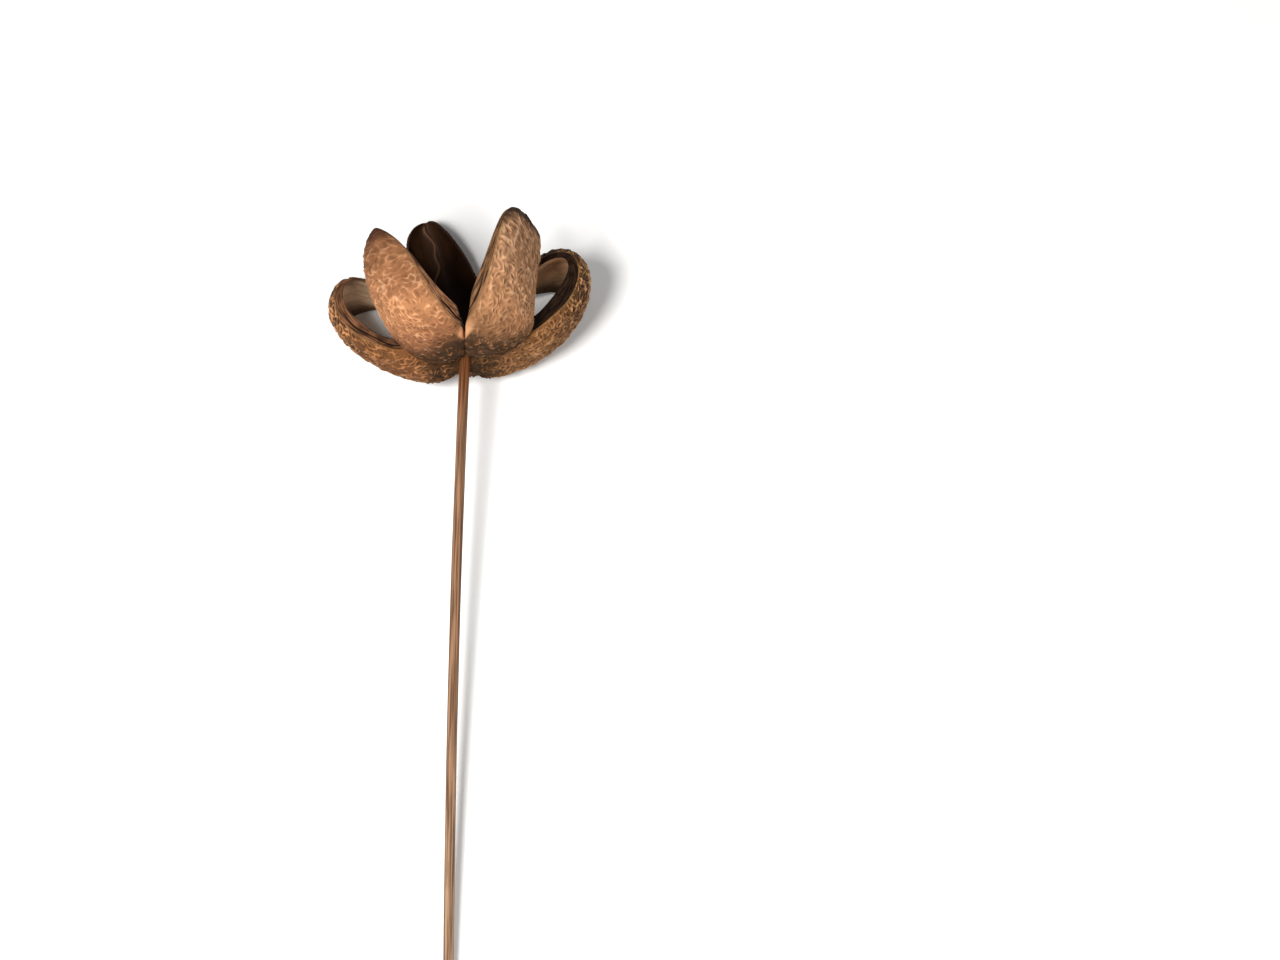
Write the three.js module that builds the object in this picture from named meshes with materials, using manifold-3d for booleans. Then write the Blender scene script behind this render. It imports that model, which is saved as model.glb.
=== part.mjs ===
// A dried seed pod on a reed stem, lying on a table.
//
// The pod is one woody piece that grew from one centre: five boat-shaped follicles, each split open along its
// inner seam and curled back on itself. The stem sits in a blind hole under the pod's centre.
// Millimetres. The pod is shaped with the stem's axis upright, then laid down: the stem runs towards -Y.

import * as THREE from 'three';
import { mergeVertices } from 'three/addons/utils/BufferGeometryUtils.js';
import Module from 'manifold-3d';

const wasm = await Module();
wasm.setup();

const DEGREE = Math.PI / 180;
const SAME_POINT = 1e-4;       // corners closer than this are one corner

// The woody wall
const WALL = 2.6;              // thickness of a follicle's wall
const WALL_AT_TIP = 1.3;       // and at its tip
const THINNING_FROM = 0.35;    // where the wall begins to thin, 0 at the centre and 1 at the tip
const THINNED_BY = 0.8;
const WALL_OF_WIDTH = 0.42;    // its most as a share of the half width, where a follicle narrows
const WALL_OF_DEPTH = 0.62;    // and as a share of the depth
const LIP_REACH_AT_TIP = 0.9;  // how far the inner layer stands past the rind at a split edge, at the tip
const LIP_SHARPNESS = 5;       // how late towards the edge that begins
const DEEPEST = 0.4;           // place along a follicle where it is deepest
const DEPTH_AT_CENTRE = 0.6;   // depth at the centre, as a share of the full depth
const ROOT_ROUNDING = 0.06;    // share of the length over which the root end rounds off

// The five follicles. The keel is the line along the outside of the boat. It leaves the stem's axis at an
// azimuth, starts at a slope, climbs steadily, takes a further curl round one place on its length, and bends
// sideways by the angle in bend. The mouth rolls about the keel by the angles in roll, given at the centre,
// halfway and at the tip. The lip is how far the inner layer stands past the rind near the centre, and the
// higher lipLate is, the nearer to the tip it lessens. A tip with bluntness 1 is sharp, and 0 is square.
const FOLLICLES = {
  frontLeft: {
    azimuth: 235.3, start: -32.2, climb: 128.2, curl: 2.5, curlAt: 0.631, curlOver: 0.207, drop: 1.2,
    sway: 3.6, bend: 5, length: 82.5, halfWidth: 17.4, depth: 6.6, rootWidth: 0.89, widest: 0.31,
    taper: 2.5, bluntness: 0.61, wrap: 71, lip: 6.1, lipLate: 2.7, roll: [21.3, -13.1, 11.2],
  },
  frontRight: {
    azimuth: 304.6, start: -22.5, climb: 108.1, curl: 56.6, curlAt: 0.407, curlOver: 0.134, drop: 1.3,
    sway: 6.2, bend: -35.9, length: 89.3, halfWidth: 20.8, depth: 6.5, rootWidth: 0.62, widest: 0.55,
    taper: 3, bluntness: 0.58, wrap: 71, lip: 6.7, lipLate: 1, roll: [-11.6, 32.6, 57.8],
  },
  right: {
    azimuth: 378.2, start: -7.2, climb: 139.3, curl: 107.4, curlAt: 0.721, curlOver: 0.118, drop: 3.7,
    sway: 26.6, bend: -4.3, length: 112.5, halfWidth: 18.9, depth: 6.5, rootWidth: 0.94, widest: 0.3,
    taper: 4.9, bluntness: 0.72, wrap: 80, lip: 6.5, lipLate: 2.3, roll: [-9.9, 2.8, 0],
  },
  back: {
    azimuth: 466.5, start: -3.3, climb: 41.3, curl: 63.3, curlAt: 0.212, curlOver: 0.119, drop: 3.5,
    sway: 9, bend: -15.2, length: 88.7, halfWidth: 13.5, depth: 12.5, rootWidth: 0.68, widest: 0.34,
    taper: 2.4, bluntness: 0.39, wrap: 71, lip: 3.9, lipLate: 3.7, roll: [27.8, 11, -28],
  },
  left: {
    azimuth: 524.8, start: -19.4, climb: 132.9, curl: 92.1, curlAt: 0.759, curlOver: 0.125, drop: 5.1,
    sway: -28.1, bend: 22.4, length: 99.2, halfWidth: 18.2, depth: 6.5, rootWidth: 0.63, widest: 0.25,
    taper: 4, bluntness: 0.48, wrap: 73, lip: 5.3, lipLate: 2.3, roll: [23.8, -17.7, 9.5],
  },
};

// Near the centre the walls of neighbours are pressed flat against the plane between them
const PRESSED_UNTIL = 0.25;    // share of the length that is pressed all the way
const PRESSED_FADE = 0.5;      // share of the length over which the pressing fades out
const PRESSED_SOFTNESS = 1.6;  // how gently a wall turns into its pressed face
const ROOT_OVERLAP = 0.3;      // walls run into each other by this much where they are grown together
const SEAM_GAP = 0.2;          // and stand this far from the plane between them further out
const GROWN_TOGETHER = 0.16;   // share of the length that is grown together
const PARTING = 0.1;           // share of the length over which they part

// The rough rind
const KNOB_HEIGHT = 0.32;      // worm-like ridges, as knobs
const KNOB_PITCH = 7.5;
const KNOB_WANDER = 1.5;       // how far the rows of knobs wander from straight lines
const KNOB_STRIPES = 0.6;      // strength of the second set of rows
const WRINKLE_HEIGHT = 0.3;    // wrinkles across the follicle near its tip
const WRINKLE_PITCH = 5.5;
const WRINKLE_BEND = 2;        // how far they bend round the follicle
const WRINKLED_FROM = 0.6;     // where along a follicle the wrinkles take over from the knobs
const WRINKLED_BY = 0.85;
const SMOOTH_ROOT = 0.15;      // the rind is smooth up to here, and again near the tip and the split edge
const SMOOTH_TIP = 0.06;
const SMOOTH_EDGE = 0.15;

// The boss that joins the five roots
const BOSS_RADIUS = 7.6;
const BOSS_HEIGHT = 5;
const BOSS_LOBE = 0.14;        // it swells towards each follicle by this share of its radius
const BOSS_MIDDLE = new THREE.Vector3(0, 0.6, 2.7);

// The stem
const STEM_RADIUS = 2.05;
const STEM_LENGTH = 289;       // from the pod's underside to the cut end
const STEM_IN_POD = 5.6;       // how far the stem reaches into the pod
const STEM_CLEARANCE = 0.3;    // between the stem and its hole, all round and at the blind end
const STEM_GROOVE = 0.12;      // depth of the grooves that run along it
const STEM_LEAN = 0.04;        // sideways lean at the pod, as a slope
const STEM_BOW = 0.00007;      // the lean lessens with the square of the distance, per millimetre

// How it lies
const AXIS_HEIGHT = 25.7;      // height of the pod's underside centre above the table
const REST_FLAT = 0.35;        // how much is worn flat where it touches the table

// Facets
const OUTER_STEPS = 14;        // round the rind
const INNER_STEPS = 6;         // round the inside
const ALONG_STEPS = 38;
const ENDS_CLOSER = 0.5;       // 0 spaces the rows along a follicle evenly, 1 draws them towards its ends
const KEEL_SUBSTEPS = 12;
const BOSS_SIDES = 30;
const BOSS_RINGS = 12;
const STEM_SIDES = 20;
const STEM_STEPS = 26;

// Colours and finish
const POD_BROWN = 0x9a6a42;
const POD_ROUGHNESS = 0.85;
const STEM_BROWN = 0x8a5f3c;
const STEM_ROUGHNESS = 0.75;

const clamp01 = (x) => Math.min(1, Math.max(0, x));
const mix = (a, b, t) => a + (b - a) * t;
const smooth = (x) => clamp01(x) ** 2 * (3 - 2 * clamp01(x));

function solidOf(geometry) {
  const plain = geometry.clone();
  plain.deleteAttribute('normal');
  plain.deleteAttribute('uv');
  const merged = mergeVertices(plain, SAME_POINT);
  return new wasm.Manifold(new wasm.Mesh({
    numProp: 3,
    vertProperties: new Float32Array(merged.attributes.position.array),
    triVerts: new Uint32Array(merged.index.array),
  }));
}

function geometryOf(solid) {
  const mesh = solid.getMesh();
  const geometry = new THREE.BufferGeometry();
  geometry.setAttribute('position', new THREE.BufferAttribute(mesh.vertProperties, 3));
  geometry.setIndex(new THREE.BufferAttribute(mesh.triVerts, 1));
  geometry.computeVertexNormals();
  return geometry;
}

// A smooth curve through three values, at 0, 0.5 and 1
function through([first, middle, last], s) {
  return first * (1 - s) * (1 - 2 * s) + 4 * middle * s * (1 - s) + last * s * (2 * s - 1);
}

// Slope of the keel above the plane square to the stem, in degrees
function keelSlope(f, s) {
  const ramp = (x) => Math.tanh((x - f.curlAt) / f.curlOver);
  return f.start + f.climb * s + f.curl * (ramp(s) - ramp(0)) / (ramp(1) - ramp(0));
}

// Turns two directions towards each other's side by an angle in degrees
function turned(a, b, angle) {
  const cos = Math.cos(angle * DEGREE);
  const sin = Math.sin(angle * DEGREE);
  return [
    a.clone().multiplyScalar(cos).addScaledVector(b, sin),
    b.clone().multiplyScalar(cos).addScaledVector(a, -sin),
  ];
}

// Direction of the keel, the way from the keel to the mouth, and the way across, all at one place
function keelFrame(f, s) {
  const azimuth = (f.azimuth - f.sway * s) * DEGREE;
  const outwards = new THREE.Vector3(Math.cos(azimuth), Math.sin(azimuth), 0);
  const up = new THREE.Vector3(0, 0, 1);
  const [climbing, open] = turned(outwards, up, keelSlope(f, s));
  const [along, sideways] = turned(climbing, climbing.clone().cross(open), f.bend * s ** 2);
  const [mouth, across] = turned(open, sideways, through(f.roll, s));
  return { along, mouth, across };
}

// Rows along a follicle, closer together at its two ends, each with its place, frame and point on the keel
function keelRows(f) {
  const rows = [];
  const point = new THREE.Vector3(0, 0, -f.drop);
  let last = 0;
  for (let row = 0; row <= ALONG_STEPS; row += 1) {
    const t = row / ALONG_STEPS;
    const s = mix(t, 0.5 - 0.5 * Math.cos(Math.PI * t), ENDS_CLOSER);
    for (let step = 0; step < KEEL_SUBSTEPS; step += 1) {
      const middle = mix(last, s, (step + 0.5) / KEEL_SUBSTEPS);
      point.addScaledVector(keelFrame(f, middle).along, f.length * (s - last) / KEEL_SUBSTEPS);
    }
    last = s;
    rows.push({ s, point: point.clone(), ...keelFrame(f, s) });
  }
  return rows;
}

// Share of the full width or depth that a follicle has at one place
function fullness(f, s, atCentre, fullest) {
  const root = Math.sqrt(1 - (1 - clamp01(s / ROOT_ROUNDING)) ** 2);
  if (s < fullest) {
    return root * (1 - (1 - atCentre) * (1 - s / fullest) ** 2);
  }
  return (1 - ((s - fullest) / (1 - fullest)) ** f.taper) ** f.bluntness;
}

// Knobs over the whole rind and wrinkles across its tip
function relief(f, s, angle, point) {
  const k = 2 * Math.PI / KNOB_PITCH;
  const wander = (x) => KNOB_WANDER * Math.sin(0.5 * k * x);
  const knobs = Math.sin(k * point.x + wander(point.z)) * Math.sin(k * point.z + wander(point.y))
    + KNOB_STRIPES * Math.sin(k * point.y + wander(point.x));
  const wrinkles = Math.sin(2 * Math.PI * s * f.length / WRINKLE_PITCH + WRINKLE_BEND * Math.cos(2 * angle));
  const nearTip = smooth((s - WRINKLED_FROM) / (WRINKLED_BY - WRINKLED_FROM));
  const alongFade = smooth(s / SMOOTH_ROOT) * smooth((1 - s) / SMOOTH_TIP);
  const edgeFade = smooth((1 - Math.abs(angle) / (f.wrap * DEGREE)) / SMOOTH_EDGE);
  return alongFade * edgeFade * mix(KNOB_HEIGHT * knobs, WRINKLE_HEIGHT * wrinkles, nearTip);
}

// One corner of a follicle's cross-section: the rind from lip to lip, then the inside from lip to lip
function sectionPoint(f, row, column) {
  const width = f.halfWidth * fullness(f, row.s, f.rootWidth, f.widest);
  const depth = f.depth * fullness(f, row.s, DEPTH_AT_CENTRE, DEEPEST);
  const wrap = f.wrap * DEGREE;
  const inside = column > OUTER_STEPS;
  const share = inside ? 1 - (column - OUTER_STEPS - 1) / INNER_STEPS : column / OUTER_STEPS;
  const angle = wrap * (2 * share - 1);
  const acrossPerAngle = width / Math.sin(wrap);
  const heightPerAngle = depth / (1 - Math.cos(wrap));
  let x = acrossPerAngle * Math.sin(angle);
  let y = heightPerAngle * (1 - Math.cos(angle));
  const tangent = new THREE.Vector2(acrossPerAngle * Math.cos(angle), heightPerAngle * Math.sin(angle));
  tangent.normalize();
  const outward = new THREE.Vector2(tangent.y, -tangent.x);
  const thinned = smooth((row.s - THINNING_FROM) / (THINNED_BY - THINNING_FROM));
  const wall = Math.min(mix(WALL, WALL_AT_TIP, thinned), WALL_OF_WIDTH * width, WALL_OF_DEPTH * depth);
  if (inside) {
    const reach = mix(f.lip, LIP_REACH_AT_TIP, row.s ** f.lipLate) * (wall / WALL);
    const lip = reach * Math.abs(2 * share - 1) ** LIP_SHARPNESS * Math.sign(angle);
    x += -outward.x * wall + tangent.x * lip;
    y += -outward.y * wall + tangent.y * lip;
  } else {
    const place = row.point.clone().addScaledVector(row.across, x).addScaledVector(row.mouth, y);
    const raised = relief(f, row.s, angle, place);
    x += outward.x * raised;
    y += outward.y * raised;
  }
  const point = row.point.clone().addScaledVector(row.across, x).addScaledVector(row.mouth, y);
  return { point, wall: inside ? wall : 0 };
}

// Moves a point back from the planes between a follicle and its two neighbours
function pressed(point, s, wall, seams) {
  const fade = smooth((PRESSED_UNTIL + PRESSED_FADE - s) / PRESSED_FADE);
  const gap = mix(-ROOT_OVERLAP, SEAM_GAP, smooth((s - GROWN_TOGETHER) / PARTING));
  for (const seam of seams) {
    const distance = point.dot(seam) - gap - wall;
    const softened = 0.5 * (distance + Math.sqrt(distance ** 2 + PRESSED_SOFTNESS ** 2));
    point.addScaledVector(seam, (softened - distance) * fade);
  }
  return point;
}

// The two planes that bound a follicle, as their normals pointing towards it
function seamsOf(name) {
  const names = Object.keys(FOLLICLES);
  const place = names.indexOf(name);
  const own = FOLLICLES[name].azimuth;
  const next = FOLLICLES[names[(place + 1) % names.length]].azimuth;
  const previous = FOLLICLES[names[(place + names.length - 1) % names.length]].azimuth;
  const high = 0.5 * (own + (next > own ? next : next + 360)) * DEGREE;
  const low = 0.5 * (own + (previous < own ? previous : previous - 360)) * DEGREE;
  return [
    new THREE.Vector3(-Math.sin(low), Math.cos(low), 0),
    new THREE.Vector3(Math.sin(high), -Math.cos(high), 0),
  ];
}

// A follicle's whole skin: a sphere's net, with one pole at the root and the other at the tip
function follicle(name) {
  const f = FOLLICLES[name];
  const columns = OUTER_STEPS + INNER_STEPS + 2;
  const geometry = new THREE.SphereGeometry(1, columns, ALONG_STEPS);
  const rows = keelRows(f);
  const seams = seamsOf(name);
  rows.forEach((row, i) => {
    for (let column = 0; column <= columns; column += 1) {
      const { point, wall } = sectionPoint(f, row, column % columns);
      pressed(point, row.s, wall, seams);
      geometry.attributes.position.setXYZ(i * (columns + 1) + column, point.x, point.y, point.z);
    }
  });
  return solidOf(geometry);
}

// A low boss with one lobe for each follicle
function boss() {
  const geometry = new THREE.SphereGeometry(1, BOSS_SIDES, BOSS_RINGS);
  geometry.rotateX(Math.PI / 2);
  const position = geometry.attributes.position;
  for (let i = 0; i < position.count; i += 1) {
    const turn = Math.atan2(position.getY(i), position.getX(i)) - FOLLICLES.back.azimuth * DEGREE;
    const radius = BOSS_RADIUS * (1 + BOSS_LOBE * Math.cos(Object.keys(FOLLICLES).length * turn));
    position.setXYZ(i, radius * position.getX(i), radius * position.getY(i), BOSS_HEIGHT * position.getZ(i));
  }
  geometry.translate(BOSS_MIDDLE.x, BOSS_MIDDLE.y, BOSS_MIDDLE.z);
  return solidOf(geometry);
}

// A length of reed along the stem's bowed line, from one height to another
function reed(radius, groove, low, high) {
  const geometry = new THREE.CylinderGeometry(1, 1, 1, STEM_SIDES, STEM_STEPS);
  geometry.rotateX(Math.PI / 2);
  const position = geometry.attributes.position;
  for (let i = 0; i < position.count; i += 1) {
    const z = mix(low, high, position.getZ(i) + 0.5);
    const turn = Math.atan2(position.getY(i), position.getX(i));
    const share = Math.hypot(position.getX(i), position.getY(i));
    const around = share * (radius + groove * 0.5 * (Math.cos(turn * STEM_SIDES / 2) - 1));
    const lean = STEM_LEAN * z + STEM_BOW * z * z;
    position.setXYZ(i, lean + around * Math.cos(turn), around * Math.sin(turn), z);
  }
  return geometry;
}

// Lays the upright plant down: its back turns to the table and its stem end comes to rest on it
const tilt = Math.asin((AXIS_HEIGHT - STEM_RADIUS + REST_FLAT) / STEM_LENGTH);
const laidDown = new THREE.Matrix4().makeTranslation(0, 0, AXIS_HEIGHT)
  .multiply(new THREE.Matrix4().makeRotationX(tilt - Math.PI / 2));

// Takes off what would be under the table
function restingOnTable(solid) {
  const laid = geometryOf(solid).applyMatrix4(laidDown);
  const side = 2 * (STEM_LENGTH + FOLLICLES.right.length);
  const under = new THREE.BoxGeometry(side, side, side).translate(0, 0, -0.5 * side);
  return geometryOf(solidOf(laid).subtract(solidOf(under)));
}

function podSolid() {
  const grown = Object.keys(FOLLICLES).map(follicle).reduce((sum, part) => sum.add(part), boss());
  const hole = solidOf(reed(STEM_RADIUS + STEM_CLEARANCE, 0, -STEM_LENGTH, STEM_IN_POD + STEM_CLEARANCE));
  return grown.subtract(hole);
}

function woody(name, geometry, color, roughness) {
  const mesh = new THREE.Mesh(geometry, new THREE.MeshStandardMaterial({ color, roughness, metalness: 0 }));
  mesh.name = name;
  return mesh;
}

const plant = new THREE.Group();
const stemSolid = solidOf(reed(STEM_RADIUS, STEM_GROOVE, -STEM_LENGTH, STEM_IN_POD));
plant.add(woody('pod', restingOnTable(podSolid()), POD_BROWN, POD_ROUGHNESS));
plant.add(woody('stem', restingOnTable(stemSolid), STEM_BROWN, STEM_ROUGHNESS));

// The origin is on the table, under the middle of the whole
const box = new THREE.Box3().setFromObject(plant);
plant.position.set(-0.5 * (box.min.x + box.max.x), -0.5 * (box.min.y + box.max.y), 0);

export default plant;
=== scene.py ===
import math

import bpy
import numpy as np
from mathutils import Matrix, Vector


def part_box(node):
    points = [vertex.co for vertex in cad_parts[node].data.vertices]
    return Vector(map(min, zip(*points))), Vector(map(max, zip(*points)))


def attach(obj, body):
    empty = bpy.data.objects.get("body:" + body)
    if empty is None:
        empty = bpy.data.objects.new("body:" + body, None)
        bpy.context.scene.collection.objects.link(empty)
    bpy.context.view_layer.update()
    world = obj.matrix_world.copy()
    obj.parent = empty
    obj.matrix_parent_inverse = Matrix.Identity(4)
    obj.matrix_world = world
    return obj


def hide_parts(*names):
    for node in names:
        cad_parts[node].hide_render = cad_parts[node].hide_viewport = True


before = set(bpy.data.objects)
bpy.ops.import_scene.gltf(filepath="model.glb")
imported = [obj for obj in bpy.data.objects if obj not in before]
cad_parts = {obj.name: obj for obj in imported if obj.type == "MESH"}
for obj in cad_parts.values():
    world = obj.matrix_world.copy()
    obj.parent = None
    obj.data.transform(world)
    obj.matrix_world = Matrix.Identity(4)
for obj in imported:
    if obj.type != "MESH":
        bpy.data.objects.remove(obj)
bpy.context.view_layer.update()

# A dried seed pod on a reed stem, lying on a pale table.
# Every piece is shaped with the stem's axis upright, as the solids are, and then laid down.
# Metres and degrees.

# The five follicles. The keel is the line along the outside of the boat. It leaves the stem's axis at an
# azimuth, starts at a slope, climbs steadily, takes a further curl round one place on its length, and bends
# sideways by the angle in bend. The mouth rolls about the keel by the angles in roll, given at the centre,
# halfway and at the tip. The lip is how far the inner layer stands past the rind near the centre, and the
# higher lip_late is, the nearer to the tip it lessens. The ridges of the rind are as high as rugged says, and
# up to smooth_until, a share of the length, there are none beside the split edges.
FOLLICLES = {
    "front_left": dict(
        azimuth=235.3, start=-32.2, climb=128.2, curl=2.5, curl_at=0.631, curl_over=0.207, drop=0.0012,
        sway=3.6, bend=5, length=0.0825, half_width=0.0174, depth=0.0066, root_width=0.89, widest=0.31,
        taper=2.5, bluntness=0.61, wrap=71, lip=0.0061, lip_late=2.7, roll=(21.3, -13.1, 11.2),
        rugged=1, smooth_until=0.44),
    "front_right": dict(
        azimuth=304.6, start=-22.5, climb=108.1, curl=56.6, curl_at=0.407, curl_over=0.134, drop=0.0013,
        sway=6.2, bend=-35.9, length=0.0893, half_width=0.0208, depth=0.0065, root_width=0.62,
        widest=0.55, taper=3, bluntness=0.58, wrap=71, lip=0.0067, lip_late=1, roll=(-11.6, 32.6, 57.8),
        rugged=1, smooth_until=0.44),
    "right": dict(
        azimuth=378.2, start=-7.2, climb=139.3, curl=107.4, curl_at=0.721, curl_over=0.118, drop=0.0037,
        sway=26.6, bend=-4.3, length=0.1125, half_width=0.0189, depth=0.0065, root_width=0.94,
        widest=0.3, taper=4.9, bluntness=0.72, wrap=80, lip=0.0065, lip_late=2.3, roll=(-9.9, 2.8, 0),
        rugged=1.3, smooth_until=0),
    "back": dict(
        azimuth=466.5, start=-3.3, climb=41.3, curl=63.3, curl_at=0.212, curl_over=0.119, drop=0.0035,
        sway=9, bend=-15.2, length=0.0887, half_width=0.0135, depth=0.0125, root_width=0.68,
        widest=0.34, taper=2.4, bluntness=0.39, wrap=71, lip=0.0039, lip_late=3.7, roll=(27.8, 11, -28),
        rugged=1.2, smooth_until=0),
    "left": dict(
        azimuth=524.8, start=-19.4, climb=132.9, curl=92.1, curl_at=0.759, curl_over=0.125, drop=0.0051,
        sway=-28.1, bend=22.4, length=0.0992, half_width=0.0182, depth=0.0065, root_width=0.63,
        widest=0.25, taper=4, bluntness=0.48, wrap=73, lip=0.0053, lip_late=2.3,
        roll=(23.8, -17.7, 9.5), rugged=1.3, smooth_until=0),
}

# The woody wall
WALL = 0.0026
WALL_AT_TIP = 0.0013
THINNING_FROM = 0.35
THINNED_BY = 0.8
WALL_OF_WIDTH = 0.42
WALL_OF_DEPTH = 0.62
LIP_REACH_AT_TIP = 0.0009
LIP_SHARPNESS = 5
DEEPEST = 0.4
DEPTH_AT_CENTRE = 0.6
ROOT_ROUNDING = 0.06

# Where neighbours press on each other near the centre
PRESSED_UNTIL = 0.25
PRESSED_FADE = 0.5
PRESSED_SOFTNESS = 0.0016
ROOT_OVERLAP = 0.0003
SEAM_GAP = 0.0002
GROWN_TOGETHER = 0.16
PARTING = 0.1
PRESSED_SMOOTH = 0.006         # pressed back this far, the rind has no ridges left
MARGIN_SMOOTH = 0.6            # near the centre the rind is smooth from here to its split edge
MARGIN_FADE = 0.2

# The rind: knobs and wrinkles as in the solids
KNOB_HEIGHT = 0.00024
KNOB_PITCH = 0.0075
KNOB_WANDER = 1.5
KNOB_STRIPES = 0.6
WRINKLE_HEIGHT = 0.0002
WRINKLE_PITCH = 0.0055
WRINKLE_BEND = 2
WRINKLED_FROM = 0.6
WRINKLED_BY = 0.85
SMOOTH_ROOT = 0.15
SMOOTH_TIP = 0.06
SMOOTH_EDGE = 0.15

# Fine worm-like ridges with small hollows between them. Towards the tip and the split edges they lie across
# the follicle, and near the stem they are coarser.
CELL = 0.0002                  # size of a cell of the fields that the ridges are read from
LINE_SPREAD = 0.45             # how much the pitch of the lines varies
LINE_SETTLING = 2              # more rounds join the lines into longer ones
LINE_GAIN = 1.2
LAST_CELL = 1.001              # keeps a reading inside the last cell of a field
WORM_PITCH = 0.0033            # twice the distance between ridges
WORM_HEIGHT = 0.00032
WARP_SIZE = 0.0035             # the ridges wander by this much over this distance
WARP = 0.00035
CALM_SIZE = 0.009              # patches where they are low
CALM = 0.45
ACROSS_PITCH = 0.0033
ACROSS_STRETCH = 2.2
ACROSS_FROM = 0.5
ACROSS_BY = 0.85
ACROSS_EDGE = 0.88
EDGE_CALM = 0.65               # how much lower the ridges are at the split edges
ROOT_PITCH = 0.0038
ROOT_HEIGHT = 0.00045
ROOT_UNTIL = 0.34
ROOT_FADE = 0.16
SWELL_SIZE = 0.003             # patches where the ridges run together
SWELL = 0.45
LINE_SHARE = 0.62              # how much of the lines stands up as ridges
LINE_WIDTH = 0.54
HOLLOW_FROM = 0.95             # how far from a ridge a hollow begins
HOLLOW_SOFTNESS = 0.7
HOLLOW_DEPTH_AND_SHADE = 0.48             # depth of a hollow and the painted shade in it, beside those of a pit
TIP_CLOSING = 0.03
PIT_SIZE = 0.0007
PIT_RARITY = 1.9
PIT_SOFTNESS = 0.6
PIT_DEPTH = 0.0003

# The split edges, torn into strands that run along them, and the inside
STRAND_PITCH = 0.0013
STRAND_STRETCH = 8
STRAND_HEIGHT = 0.0003
STRAND_SOFTNESS = 2.4
EDGE_ROLL = 0.0003
EDGE_ROLL_WIDTH = 0.3
CRACK_AT = 0.36
CRACK_WIDTH = 0.07
CRACK_FROM = 0.08
CRACK_UNTIL = 0.62
CRACK_FADE = 0.16
CRACK_WANDER = 0.05
CRACK_TURNS = 30
RIB_HALF_WIDTH = 0.0007
RIB_WANDER = 0.0012
RIB_TURNS = 22
RIB_SECOND = 0.6               # a second wander, smaller
RIB_QUICKER = 2.3              # and quicker
RIB_FROM = 0.15
RIB_FADE = 0.3
FOLD_PITCH = 0.006
FOLD_STRETCH = 5
FOLD_HEIGHT = 0.00022
FOLD_EDGE = 0.2

# The stem
STEM_RADIUS = 0.00205
STEM_LENGTH = 0.289
STEM_IN_POD = 0.0056
STEM_LEAN = 0.04
STEM_BOW = 0.07
STEM_RIBS = 17
STEM_RIBS_BESIDE = 13          # a second set of ribs, which the first one beats against
STEM_RIB_DEPTH = 0.00012
STEM_UNEVEN = 0.00004
STEM_UNEVEN_TURNS = (60, 23)
STEM_UNEVEN_ROUND = 2
STEM_DRIFT = ((0.5, 17, 0), (0.3, 41, 1)) # how the ribs wander: the height, turns and start of each wave
AXIS_HEIGHT = 0.0257
REST_FLAT = 0.00035

# The boss that joins the five roots
BOSS_RADIUS = 0.0076
BOSS_HEIGHT = 0.005
BOSS_LOBE = 0.14
BOSS_RIDGES = 0.5              # height of its ridges, beside those near the stem
BOSS_MIDDLE = np.array([0, 0.0006, 0.0027])
BOSS_SEED = 71

# Facets
ROWS = 368
RIND_STEPS = 172
LIP_STEPS = 20
INSIDE_STEPS = 42
ENDS_CLOSER = 0.5
KEEL_SUBSTEPS = 4
BOSS_RINGS = 40
BOSS_SIDES = 100
STEM_ROWS = 320
STEM_SIDES = 48

# Colours that all follicles share, and those of the reed and the table
OLIVE = "2c1b09"
OLIVE_RIDGE = "7c4e24"
TIP_BROWN = "341c0f"
CRACK_SHADE_BLACK = "120a07"
MARGIN_OLIVE = "6c4e2d"
REED_WARM = ("3b1f0a", "733f1a")
REED_GREY = ("604835", "a5866a")
REED_GROOVE = "5a3c26"
REED_BLOTCH = "5d402b"
TABLE_WHITE = "e2e1df"
SKY_WHITE = "ffffff"

# How much the surfaces shine
RIND_SHEEN = 0.12
LIP_SHEEN = 0.06
INSIDE_SHEEN = 0.1
REED_SHEEN = 0.15
TABLE_SHEEN = 0.5
TABLE_ROUGHNESS = 0.9

# Noises of the paints. A scale is in spots to the metre, and a grain sets it for each direction.
PATCHES = dict(scale=55, detail=2.0, distortion=0.5)
HUES = dict(scale=120, detail=2.0, distortion=0.5)
MOTTLES = dict(scale=280, detail=3.0, distortion=0.4)
SPECKS = dict(scale=1600, detail=3.0)
FIBRES = dict(scale=1.0, detail=4.0, distortion=0.9)
FIBRE_GRAIN = (1800, 200, 1)
LIP_PATCHES = dict(scale=200, detail=3.0)
STREAKS = dict(scale=1.0, detail=4.0, distortion=0.8)
STREAK_GRAIN = (700, 60, 1)
CLOUDS = dict(scale=90, detail=3.0, distortion=0.5)
INSIDE_SPECKS = dict(scale=900, detail=2.0)
STRIPES = dict(scale=1500, detail=3.0)
STRIPE_GRAIN = (1, 1, 0.02)
BLOTCHES = dict(scale=260, detail=3.0)
BLOTCH_GRAIN = (1, 1, 0.15)

# Layers of the paints. A span is where a layer begins and is full, on the mark or noise that it follows, and a
# share is how much of it shows there. A stir is how far a noise moves a mark up and down.
RIDGE_STIR = 0.3
ALONG_STIR = 0.24
PATCH_SPAN = (0.4, 0.64)
PATCH_SHARE = 0.7
WARM_SPAN = (0.4, 0.62)
RIDGE_SPAN = (0.35, 0.95)
RIDGE_SHARE = 0.55
GROOVE_SHADE_SPAN = (0.28, 0.02)
GROOVE_SHADE_SHARE = 0.6
MOTTLE_SPAN = (0.49, 0.64)
MOTTLE_SHARE = 0.6
LOW_SPAN = (0.6, 0.3)
LOW_SHARE = 0.6
TOP_SPAN = (0.5, 0.95)
MARGIN_SPAN = (0.84, 1.0)
MARGIN_SHARE = 0.6
OLIVE_RIDGE_SPAN = (0.5, 1.0)
OLIVE_FULL = 0.5               # of the distance that the olive reaches from the stem, the part where it is full
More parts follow.
